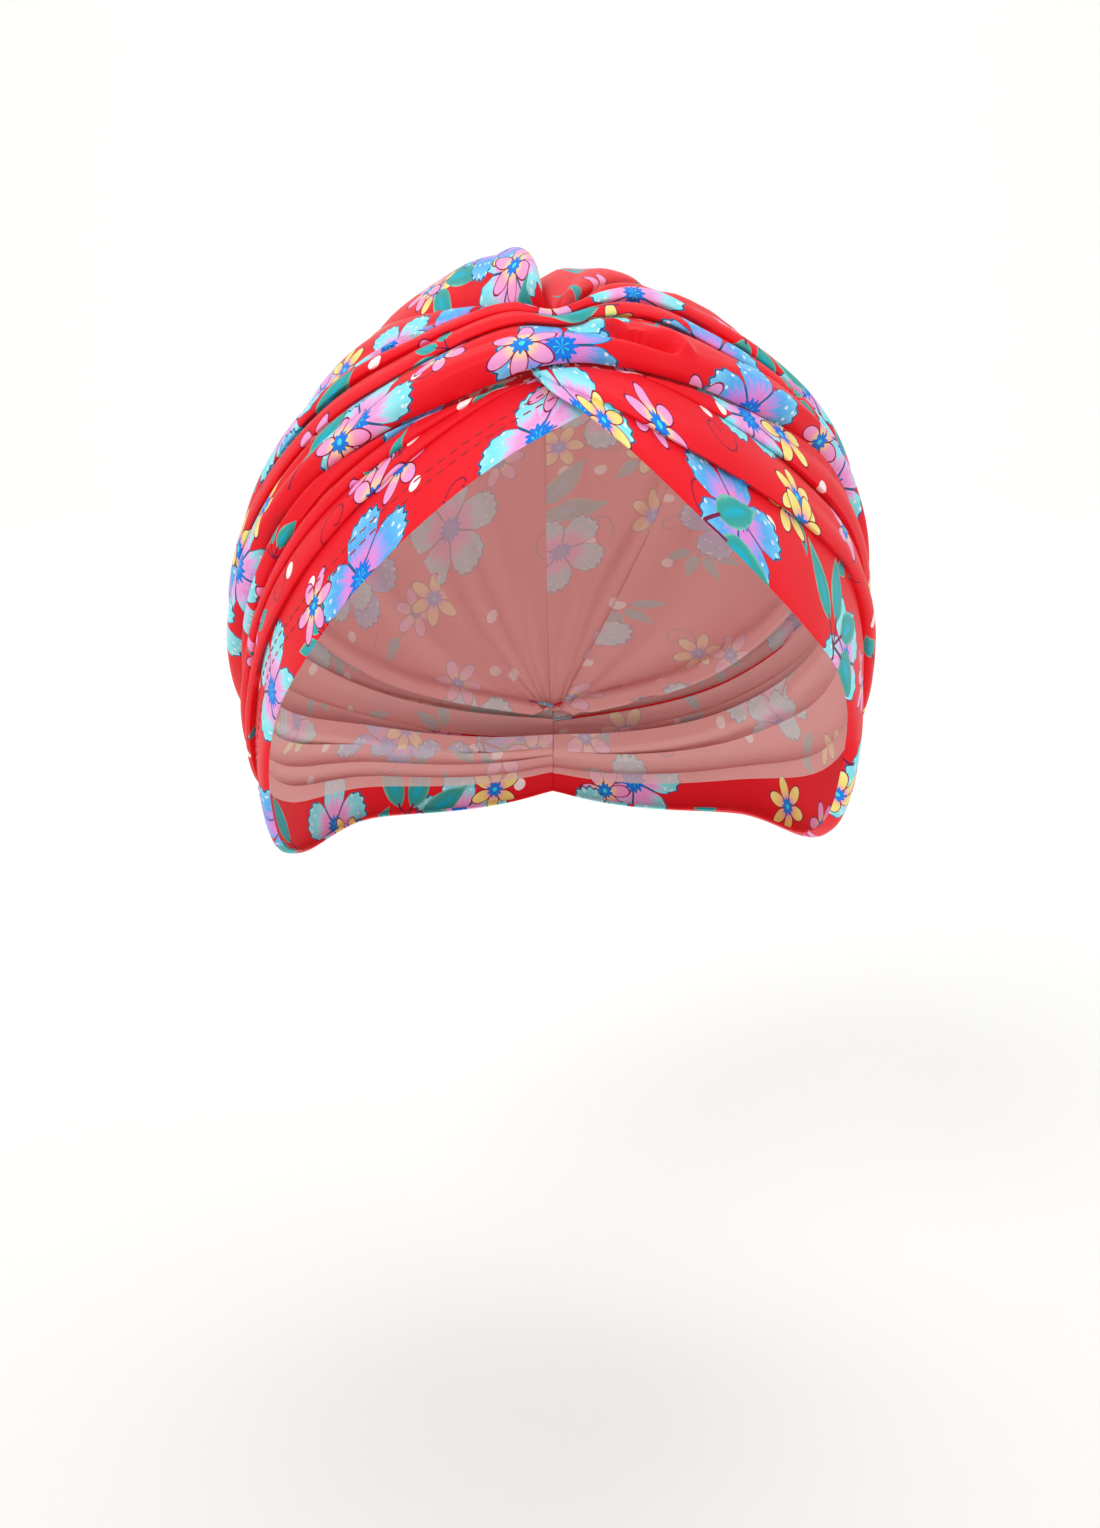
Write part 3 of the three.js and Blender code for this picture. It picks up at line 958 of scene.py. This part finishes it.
def spray_group():
    """A spray of up to five pointed teal leaves on thin maroon stems."""
    tree, start, end = new_motif("print spray")
    local, seed = start.outputs[0], start.outputs[1]
    reach, angle = polar(tree, local)
    gap = 0.74
    most = chain(tree, MATH, seed, ("MULTIPLY", 3.0), ("FLOOR",))
    least = add(tree, MATH, "MULTIPLY", most, -1.0)
    leaf = chain(
        tree, MATH, angle, ("DIVIDE", gap), ("ROUND",), ("MINIMUM", most), ("MAXIMUM", least)
    )
    aside = add(tree, MATH, "MULTIPLY_ADD", leaf, -gap, angle)
    out, side = along_and_aside(tree, reach, aside)
    # each leaf bends a little to one side
    bend = add(tree, MATH, "MULTIPLY", out, out)
    side = chain(tree, MATH, bend, ("MULTIPLY_ADD", 0.14, side), ("ABSOLUTE",))
    way = add(tree, MATH, "MULTIPLY_ADD", out, 1 / 0.76, -0.24 / 0.76)
    way = add(tree, "ShaderNodeClamp", {}, way, 0.0, 1.0)
    belly = chain(tree, MATH, way, ("POWER", 0.75), ("MULTIPLY", math.pi), ("SINE",))
    half = add(tree, MATH, "MULTIPLY", belly, 0.155)
    spare = add(tree, MATH, "SUBTRACT", half, side)
    blade = add(tree, MATH, "GREATER_THAN", spare, 0.0)
    depth = add(tree, MATH, "MULTIPLY", spare, 7.0)
    streak = add(tree, VECTOR, "SCALE", local, 3.5)
    streak = add(tree, NOISE, {}, streak, 1.0, 2.0, 0.5).outputs[0]
    streak = add(tree, MATH, "SUBTRACT", streak, 0.5)
    depth = add(tree, MATH, "MULTIPLY_ADD", streak, 0.9, depth)
    stops = [(0.0, "#7FC3B4"), (0.2, "#3FAAA2"), (0.6, "#2FA5A0"), (1.0, "#12B4CC")]
    colour = add(tree, BLEND, {"stops": stops}, depth)
    stem = add(tree, MATH, "LESS_THAN", side, 0.016)
    begins = add(tree, MATH, "LESS_THAN", out, 0.3)
    ahead = add(tree, MATH, "GREATER_THAN", out, 0.0)
    stem = chain(tree, MATH, stem, ("MULTIPLY", begins), ("MULTIPLY", ahead))
    colour = add(tree, MIX, TINT, stem, colour, srgb("#7D1A48"))
    mask = add(tree, MATH, "MAXIMUM", blade, stem)
    return finish_motif(tree, end, colour, mask)


def dot_group():
    """A round white dot."""
    tree, start, end = new_motif("print dot")
    reach = add(tree, VECTOR, "LENGTH", start.outputs[0]).outputs["Value"]
    mask = add(tree, MATH, "LESS_THAN", reach, 0.95)
    fill(end, {"Colour": srgb("#FDF3F3")})
    link(tree, mask, end.inputs["Mask"])
    return tree


def curl_group():
    """A thin maroon tendril that winds in on itself."""
    tree, start, end = new_motif("print curl")
    reach, angle = polar(tree, start.outputs[0])
    spiral = add(tree, MATH, "MULTIPLY_ADD", angle, 0.13, 0.52)
    off = chain(tree, MATH, reach, ("SUBTRACT", spiral), ("ABSOLUTE",))
    mask = add(tree, MATH, "LESS_THAN", off, 0.04)
    fill(end, {"Colour": srgb("#9A1238")})
    link(tree, mask, end.inputs["Mask"])
    return tree


# The print, lowest layer first: motif, shift of its cells, width of a cell and radius of the
# motif in millimetres, how far it strays in its cell, and the share of cells that hold one
PRINT_LAYERS = [
    ("curl", (11, 3, 1), 31, 6.5, 0.4, 0.5),
    ("spray", (27, 41, 3), 33, 13, 0.2, 0.5),
    ("dot", (8, 9, 4), 21, 1.9, 0.7, 0.42),
    ("bloom", (31, 12, 5), 54, 17, 0.3, 0.66),
    ("daisy", (2, 30, 6), 30, 8.5, 0.4, 0.42),
    ("spray", (5, 17, 2), 56, 25, 0.08, 0.5),
    ("bloom", (60, 39, 7), 74, 14, 0.5, 0.5),
    ("daisy", (17, 44, 8), 47, 9.5, 0.5, 0.5),
]


def floral_group(ground):
    """The whole print: a red ground with every layer of motifs on it."""
    motifs = {
        "bloom": bloom_group(),
        "daisy": daisy_group(),
        "spray": spray_group(),
        "dot": dot_group(),
        "curl": curl_group(),
    }
    scatter = scatter_group()
    tree, start, end = new_group("floral print", [(VEC, "Cloth")], [(COLOUR, "Colour")])
    cloth = start.outputs[0]
    dye = add(tree, NOISE, {}, cloth, 0.03, 2.0, 0.5).outputs[0]
    colour = add(tree, BLEND, {"stops": [(0.3, ground), (0.7, "#F01A29")]}, dye)
    for motif, shift, *sizes in PRINT_LAYERS:
        spot = add(tree, GROUP, {"node_tree": scatter}, cloth, shift, *map(float, sizes))
        drawn = add(tree, GROUP, {"node_tree": motifs[motif]}, spot.outputs[0], spot.outputs[1])
        mask = add(tree, MATH, "MULTIPLY", drawn.outputs[1], spot.outputs[2])
        colour = add(tree, MIX, TINT, mask, colour, drawn.outputs[0])
    link(tree, colour, end.inputs["Colour"])
    return tree


# Ribs of the knit in millimetres, twice as far apart as the real ones, so that they show
RIB_SPACING = 0.9
JERSEY_SHEEN = {
    "Roughness": 0.5,
    "IOR": 1.45,
    "Specular IOR Level": 0.22,
    "Sheen Weight": 0.04,
    "Sheen Roughness": 0.4,
}


def jersey_material(name, print_tree, fade, reverse_colour):
    """Brushed polyester jersey with a transfer print: smooth and a little satiny, with the
    fine upright ribs of its knit. On the reverse the print shows through only faintly."""
    material = bpy.data.materials.new(name)
    material.use_nodes = True
    tree = material.node_tree
    tree.nodes.clear()
    cloth = add(tree, "ShaderNodeUVMap", {"uv_map": "cloth"})
    cloth = add(tree, VECTOR, "SCALE", cloth, 1000.0)
    colour = add(tree, GROUP, {"node_tree": print_tree}, cloth)
    if fade:
        colour = add(tree, MIX, TINT, fade, colour, srgb(reverse_colour))
    ribs = add(
        tree,
        "ShaderNodeTexWave",
        {"wave_type": "BANDS", "bands_direction": "Y", "wave_profile": "SIN"},
        cloth,
        2 * math.pi / RIB_SPACING / 20,
        0.6,
        2.0,
        0.4,
    )
    grain = add(tree, NOISE, {}, cloth, 1.6, 3.0, 0.6).outputs[0]
    relief = add(tree, MATH, "MULTIPLY_ADD", ribs.outputs["Fac"], 0.4, grain)
    bump = add(tree, "ShaderNodeBump", {}, 0.12, 0.0002)
    link(tree, relief, bump.inputs["Height"])
    shader = add(tree, "ShaderNodeBsdfPrincipled", {})
    link(tree, colour, shader.inputs["Base Color"])
    link(tree, bump, shader.inputs["Normal"])
    fill(shader, JERSEY_SHEEN)
    out = tree.nodes.new("ShaderNodeOutputMaterial")
    link(tree, shader, out.inputs["Surface"])
    return material


def cloth_materials(settings):
    """The jersey's face and reverse, made once."""
    face = bpy.data.materials.get("printed_jersey_face")
    reverse = bpy.data.materials.get("printed_jersey_reverse")
    if face is None:
        tree = floral_group(hex_of(settings.ground))
        face = jersey_material("printed_jersey_face", tree, 0.0, "#FFFFFF")
        reverse = jersey_material("printed_jersey_reverse", tree, 0.66, "#F4D6D0")
    return face, reverse


def hex_of(colour):
    return "#%02X%02X%02X" % tuple(round(c * 255) for c in colour[:3])


def mottled_material(name, grain, stops, values):
    """A plain material whose tone varies a little: scale, detail and roughness of its noise,
    the tones, and the values of the shader."""
    material = bpy.data.materials.new(name)
    material.use_nodes = True
    tree = material.node_tree
    shader = tree.nodes["Principled BSDF"]
    place = add(tree, "ShaderNodeTexCoord", {})
    noise = add(tree, NOISE, {}, place.outputs["Object"], *grain)
    tone = add(tree, BLEND, {"stops": stops}, noise.outputs[0])
    link(tree, tone, shader.inputs["Base Color"])
    fill(shader, values)
    return material


def declare_cloth(piece, node):
    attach(piece, "root")
    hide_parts(node)


def build_brow(name, brow, settings):
    rows, steps = BROW_GRID
    at = grid_at(*brow["places"], rows)
    dirs, height = brow_surface(brow, at, steps)
    points = place_on_hollow(dirs, height + settings.cloth_thickness / MM)
    points = hold_at_seam(points, at)
    cut = BROW_CUT * smooth((np.abs(at) - 0.1) / 0.24)
    folds = len(brow["folds"])
    uv = cloth_uv(points, folds, steps, at, BROW_PITCH, brow["print"], cut)
    piece = cloth_mesh(name, points, uv, folds, steps, hem=HEM_COLUMNS)
    finish_cloth(piece, settings)
    return piece, points


class TurbanSettings(bpy.types.PropertyGroup):
    """Sizes and colours of the wrap."""

    cloth_thickness: bpy.props.FloatProperty(
        name="Cloth thickness",
        description="Thickness of the jersey with its turned hem",
        default=0.0007,
        min=0.0004,
        max=0.003,
        unit="LENGTH",
    )
    stitch_length: bpy.props.FloatProperty(
        name="Stitch length",
        description="Length of one hem stitch",
        default=0.0026,
        min=0.001,
        max=0.006,
        unit="LENGTH",
    )
    ground: bpy.props.FloatVectorProperty(
        name="Ground colour",
        description="Colour of the cloth between the printed flowers",
        subtype="COLOR_GAMMA",
        default=(0.925, 0.06, 0.13),
        size=3,
        min=0,
        max=1,
    )
    floor_drop: bpy.props.FloatProperty(
        name="Floor below crown",
        description="How far the studio floor lies below the top of the hollow",
        default=0.3,
        min=0.16,
        max=1.0,
        unit="LENGTH",
    )


class TURBAN_OT_left_brow(bpy.types.Operator):
    """Adds the left brow panel with its double-stitched hem"""

    bl_idname = "turban.left_brow"
    bl_label = "Left brow panel"

    def execute(self, context):
        settings = context.scene.turban
        piece, points = build_brow("left_brow_cloth", LEFT_BROW, settings)
        stitches = self.hem_stitches(points, settings)
        declare_cloth(piece, "left_brow_panel")
        return {"FINISHED"}

    def hem_stitches(self, points, settings):
        """The two rows of stitches, as one piece."""
        vertices, faces = [], []
        for inset in STITCH_ROWS:
            line = self.row_above_hem(points, inset)
            run = run_along(line[:, 0])
            length = settings.stitch_length / MM
            start = 1.0
            while start + length < run[-1] - 1:
                ends = [self.read(line, run, start), self.read(line, run, start + length)]
                self.add_stitch(vertices, faces, ends)
                start += length + STITCH_GAP
        # spun polyester thread, dyed to match, with a soft twist
        tones = [(0.3, "#A01020"), (0.7, "#BC1A2A")]
        shine = {"Roughness": 0.6, "Sheen Weight": 0.2}
        thread = mottled_material("hem_thread", (3000.0, 2.0, 0.5), tones, shine)
        vertices = (np.array(vertices) * MM).tolist()
        piece = smooth_piece("left_hem_stitches", vertices, faces, thread)
        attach(piece, "root")
        return piece

    @staticmethod
    def row_above_hem(points, inset):
        """Point and outward normal at a distance from the hem, at each place along it."""
        found = []
        for i, row in enumerate(points):
            run = run_along(row)
            if run[-1] < inset + 4:
                continue
            spot = np.array([np.interp(inset, run, row[:, k]) for k in range(3)])
            ahead = np.array([np.interp(inset + 1.5, run, row[:, k]) for k in range(3)])
            near = points[min(i + 1, len(points) - 1)] - points[max(i - 1, 0)]
            normal = np.cross(near[3], ahead - spot)
            found.append(np.stack([spot, normal / np.linalg.norm(normal)]))
        return np.array(found)

    @staticmethod
    def read(line, run, distance):
        return np.array(
            [[np.interp(distance, run, line[:, n, k]) for k in range(3)] for n in range(2)]
        )

    @staticmethod
    def add_stitch(vertices, faces, ends):
        """One stitch: a thread that rises out of the cloth, lies on it and goes back in."""
        (a, normal), (b, _) = ends
        ahead = (b - a) / np.linalg.norm(b - a)
        aside = np.cross(normal, ahead)
        first = len(vertices)
        sides = THREAD_SIDES
        for way, lift, size in STITCH_RINGS:
            middle = a + (b - a) * way + normal * lift
            for n in range(sides):
                turn = 2 * math.pi * n / sides
                out = aside * math.cos(turn) + normal * math.sin(turn)
                vertices.append(middle + out * THREAD_RADIUS * size)
        for r in range(len(STITCH_RINGS) - 1):
            for n in range(sides):
                a0, a1 = first + r * sides + n, first + r * sides + (n + 1) % sides
                faces.append((a0, a1, a1 + sides, a0 + sides))
        faces.append(tuple(first + n for n in reversed(range(sides))))
        last = first + (len(STITCH_RINGS) - 1) * sides
        faces.append(tuple(last + n for n in range(sides)))


class TURBAN_OT_right_brow(bpy.types.Operator):
    """Adds the right brow panel, whose front end lies over the left one's"""

    bl_idname = "turban.right_brow"
    bl_label = "Right brow panel"

    def execute(self, context):
        piece, _ = build_brow("right_brow_cloth", RIGHT_BROW, context.scene.turban)
        declare_cloth(piece, "right_brow_panel")
        return {"FINISHED"}


class TURBAN_OT_band(bpy.types.Operator):
    """Adds the pleated band that crosses at the front and runs round both sides"""

    bl_idname = "turban.band"
    bl_label = "Crossing band"

    def execute(self, context):
        settings = context.scene.turban
        rows, steps = BAND_GRID
        at = grid_at(-1, 1, rows)
        low, top = line_at(BAND_LOW, at), line_at(BAND_TOP, at)
        width = angle_between(low, top) * hollow_radius(low)
        share, height = fold_grid(BAND_FOLDS, at, width, steps, BAND_SEEDS[0])
        height = press_creases(height, at, share, width, BAND_CREASES)
        gathered = 0.22 + 0.25 * np.exp(-((at[:, None] / 0.12) ** 2))
        height = height + gathered * ripple(at[:, None], share, BAND_SEEDS[1], 6, 3, 9)
        dirs = spread(low, top, share)
        lift = table_at(BAND_LIFT, at)[:, None]
        edge = table_at(BAND_EDGE, at)[:, None]
        height = self.roll_edges(height, share, width, lift - edge)
        inside = smooth((share * width[:, None] - 2.5) / 3)
        height = height + self.tuck_step(at, share, dirs) + inside * self.pocket(dirs)
        height = np.maximum(height, edge - lift)
        points = place_on_hollow(dirs, lift + settings.cloth_thickness / MM + height)
        points = hold_at_seam(points, at)
        uv = cloth_uv(points, len(BAND_FOLDS), steps, at, BAND_PITCH, BAND_PRINT)
        piece = cloth_mesh("crossing_band_cloth", points, uv, len(BAND_FOLDS), steps)
        finish_cloth(piece, settings)
        declare_cloth(piece, "crossing_band")
        return {"FINISHED"}

    @staticmethod
    def roll_edges(height, share, width, drop):
        """Both long edges turn down to the cloth beneath."""
        from_low = share * width[:, None]
        from_top = (1 - share) * width[:, None]
        down = np.maximum(1 - from_low / LOW_ROLL, 0) ** 2
        down = down + np.maximum(1 - from_top / TOP_ROLL, 0) ** 2
        return height - drop * np.clip(down, 0, 1)

    @staticmethod
    def tuck_step(at, share, dirs):
        """The right folds roll over the left ones along the tuck line."""
        line = np.interp(share, *np.array(TUCK_LINE).T)
        along_band = angle_between(dirs[:-1], dirs[1:]) * hollow_radius(dirs[:-1])
        pace = along_band / np.diff(at)[:, None]
        pace = np.concatenate([pace, pace[-1:]])
        off = (at[:, None] - line) * np.clip(pace, 100, 220)
        strong = smooth((share - 0.16) / 0.1) * smooth((0.66 - share) / 0.3)
        under = -2.0 * np.exp(-np.abs(np.minimum(off, 0) / 5.0) ** 1.2) * smooth(0.5 - off / 2)
        over = 1.2 * np.exp(-(((off - 1.6) / 1.8) ** 2))
        return strong * (under + over)

    @staticmethod
    def pocket(dirs):
        """A pit, open to the left, with a soft rim round its right end."""
        centre = heading(POCKET["turn"], POCKET["rise"])
        right = unit(np.cross(np.array([0, 0, 1.0]), centre))
        up = np.cross(centre, right)
        radius = hollow_radius(dirs)
        x = np.sum(dirs * right, -1) * radius
        y = np.sum(dirs * up, -1) * radius
        tilt = math.radians(POCKET["tilt"])
        back = -x * math.cos(tilt) + y * math.sin(tilt)
        aside = x * math.sin(tilt) + y * math.cos(tilt)
        left = np.maximum(back, 0)
        off = np.where(back > 0, np.abs(aside), np.hypot(x, y)) - POCKET["half"] - 0.1 * left
        depth = POCKET["depth"] * np.exp(-((left / 7) ** 2)) + 0.8
        floor = smooth(-off / POCKET["side"]) * depth * smooth((POCKET["length"] - left) / 10)
        rim = POCKET["rim"] * np.exp(-(((off - 1.4) / POCKET["rim_width"]) ** 2))
        rim = rim * smooth((9 - back) / 11)
        ahead = np.sum(dirs * centre, -1) > 0.5
        return np.where(ahead, rim - floor, 0)


class TURBAN_OT_crown(bpy.types.Operator):
    """Adds the gathered crown panel"""

    bl_idname = "turban.crown"
    bl_label = "Crown panel"

    def execute(self, context):
        settings = context.scene.turban
        rows, steps = CROWN_GRID
        places = grid_at(0.012, 0.988, rows)
        right = towards(line_at(BAND_TOP, places), line_at(BAND_LOW, places), TUCK)
        left = towards(line_at(BAND_TOP, -places), line_at(BAND_LOW, -places), TUCK)
        ridge = heading(0, table_at(CROWN_RIDGE, places))
        width = (angle_between(right, ridge) + angle_between(ridge, left)) * CROWN_REACH
        folding, *gathering = CROWN_SEEDS
        share, height = fold_grid(
            CROWN_FOLDS,
            places,
            np.maximum(width, 8),
            steps,
            folding,
            flat_low=True,
            flat_top=True,
        )
        height = press_creases(height, places, share, width, CROWN_CREASES)
        ends = np.exp(-places / 0.1) + np.exp((places - 1) / 0.14)
        height = height + 1.1 * ripple(places[:, None], share, gathering[0], 6, 2, 8)
        fine = ripple(places[:, None], share, gathering[1], 5, 9, 18)
        height = height + 0.9 * ends[:, None] * fine
        v = (1 - 2 * share)[..., None]
        dirs = left[:, None] * (v * v - v) / 2 + ridge[:, None] * (1 - v * v)
        dirs = unit(dirs + right[:, None] * (v * v + v) / 2)
        edge = np.minimum(
            angle_between(dirs, left[:, None]), angle_between(dirs, right[:, None])
        ) * hollow_radius(dirs)
        height = np.maximum(height, 0) * smooth((edge - TUCK) / RAMP)
        points = place_on_hollow(dirs, CROWN_LIFT + settings.cloth_thickness / MM + height)
        uv = cloth_uv(points, len(CROWN_FOLDS), steps, places, CROWN_PITCH, CROWN_PRINT)
        piece = cloth_mesh("crown_cloth", points, uv, len(CROWN_FOLDS), steps)
        self.turn_out(piece)
        finish_cloth(piece, settings, printed_edge=False)
        declare_cloth(piece, "crown_panel")
        return {"FINISHED"}

    @staticmethod
    def turn_out(piece):
        """Faces of the crown's sheet point outwards."""
        middle = np.array([0, 0, -CROWN_RISE * MM])
        outward = 0.0
        for face in piece.data.polygons:
            out = np.array(face.center) - middle
            outward += face.area * np.dot(np.array(face.normal), out)
        if outward < 0:
            piece.data.flip_normals()


# Camera: degrees above level from the hollow's middle, metres from it, degrees that it looks
# down, and focal length in millimetres
CAMERA_RISE = 12
CAMERA_DISTANCE = 0.63
CAMERA_DIP = 15.25
CAMERA_LENS = 56.4


class TURBAN_OT_stage(bpy.types.Operator):
    """Adds the floor, soft studio light and the camera"""

    bl_idname = "turban.stage"
    bl_label = "Stage"

    def execute(self, context):
        settings = context.scene.turban
        self.add_sweep(settings.floor_drop)
        self.add_lamp("key_light", (-0.7, -1.2, 1.2), 0.8, 9)
        self.add_lamp("fill_light", (1.2, -1.0, 0.4), 1.2, 2)
        self.add_lamp("top_light", (0.1, 0.3, 1.4), 1.0, 3)
        self.add_lamp("backdrop_light", (0, 0.9, 1.4), 1.6, 10, aim=(0, 2.4, 0.1))
        self.light_the_room(context.scene)
        self.add_camera(context.scene)
        return {"FINISHED"}

    @staticmethod
    def add_sweep(drop):
        """A pale floor that curves up into a backdrop."""
        bends = [math.radians(6 * n) for n in range(16)]
        profile = [(-8, 0)] + [(1.5 + math.sin(a), 1 - math.cos(a)) for a in bends] + [(2.5, 5)]
        vertices = [(x, y, z - drop) for y, z in profile for x in (-5, 5)]
        faces = [(2 * n, 2 * n + 1, 2 * n + 3, 2 * n + 2) for n in range(len(profile) - 1)]
        tones = [(0.0, "#F4F4F2"), (1.0, "#F6F6F4")]
        board = mottled_material("painted_board", (0.4, 1.0, 0.5), tones, {"Roughness": 0.9})
        smooth_piece("studio_sweep", vertices, faces, board)

    @staticmethod
    def add_lamp(name, place, size, watts, aim=(0, 0, -0.07)):
        bpy.ops.object.light_add(type="AREA", location=place)
        lamp = bpy.context.object
        lamp.name = name
        lamp.data.shape = "DISK"
        lamp.data.size = size
        lamp.data.energy = watts
        way = np.array(aim) - np.array(place)
        lamp.rotation_euler = (
            math.atan2(math.hypot(way[0], way[1]), -way[2]),
            0,
            math.atan2(way[1], way[0]) - math.pi / 2,
        )

    @staticmethod
    def light_the_room(scene):
        world = bpy.data.worlds.new("studio")
        world.use_nodes = True
        sky = world.node_tree.nodes["Background"]
        fill(sky, {"Color": srgb("#FFFFFF"), "Strength": 0.78})
        scene.world = world
        scene.view_settings.view_transform = "Standard"

    @staticmethod
    def add_camera(scene):
        """At the photograph's angle: above the hollow's middle, and aimed a little lower."""
        rise = math.radians(CAMERA_RISE)
        lens = bpy.data.cameras.new("camera")
        lens.lens = CAMERA_LENS
        lens.sensor_width = 36
        lens.shift_x = -0.002
        lens.clip_start = 0.01
        camera = new_object("camera", lens)
        camera.location = (
            0,
            -CAMERA_DISTANCE * math.cos(rise),
            CAMERA_DISTANCE * math.sin(rise) - CROWN_RISE * MM,
        )
        camera.rotation_euler = (math.radians(90 - CAMERA_DIP), 0, 0)
        scene.camera = camera


class TURBAN_PT_panel(bpy.types.Panel):
    """Lists the wrap's panels and settings"""

    bl_label = "Turban headwrap"
    bl_idname = "TURBAN_PT_panel"
    bl_space_type = "VIEW_3D"
    bl_region_type = "UI"
    bl_category = "Turban"

    def draw(self, context):
        column = self.layout.column()
        for name in ("cloth_thickness", "stitch_length", "ground", "floor_drop"):
            column.prop(context.scene.turban, name)
        for operator in OPERATORS:
            column.operator(operator.bl_idname)


OPERATORS = (
    TURBAN_OT_left_brow,
    TURBAN_OT_right_brow,
    TURBAN_OT_band,
    TURBAN_OT_crown,
    TURBAN_OT_stage,
)
CLASSES = (TurbanSettings, *OPERATORS, TURBAN_PT_panel)


def register():
    for cls in CLASSES:
        bpy.utils.register_class(cls)
    bpy.types.Scene.turban = bpy.props.PointerProperty(type=TurbanSettings)


def unregister():
    del bpy.types.Scene.turban
    for cls in reversed(CLASSES):
        bpy.utils.unregister_class(cls)


def main():
    register()
    bpy.ops.object.select_all(action="DESELECT")
    bpy.ops.turban.left_brow()
    bpy.ops.turban.right_brow()
    bpy.ops.turban.band()
    bpy.ops.turban.crown()
    bpy.ops.turban.stage()


if __name__ == "__main__":
    main()
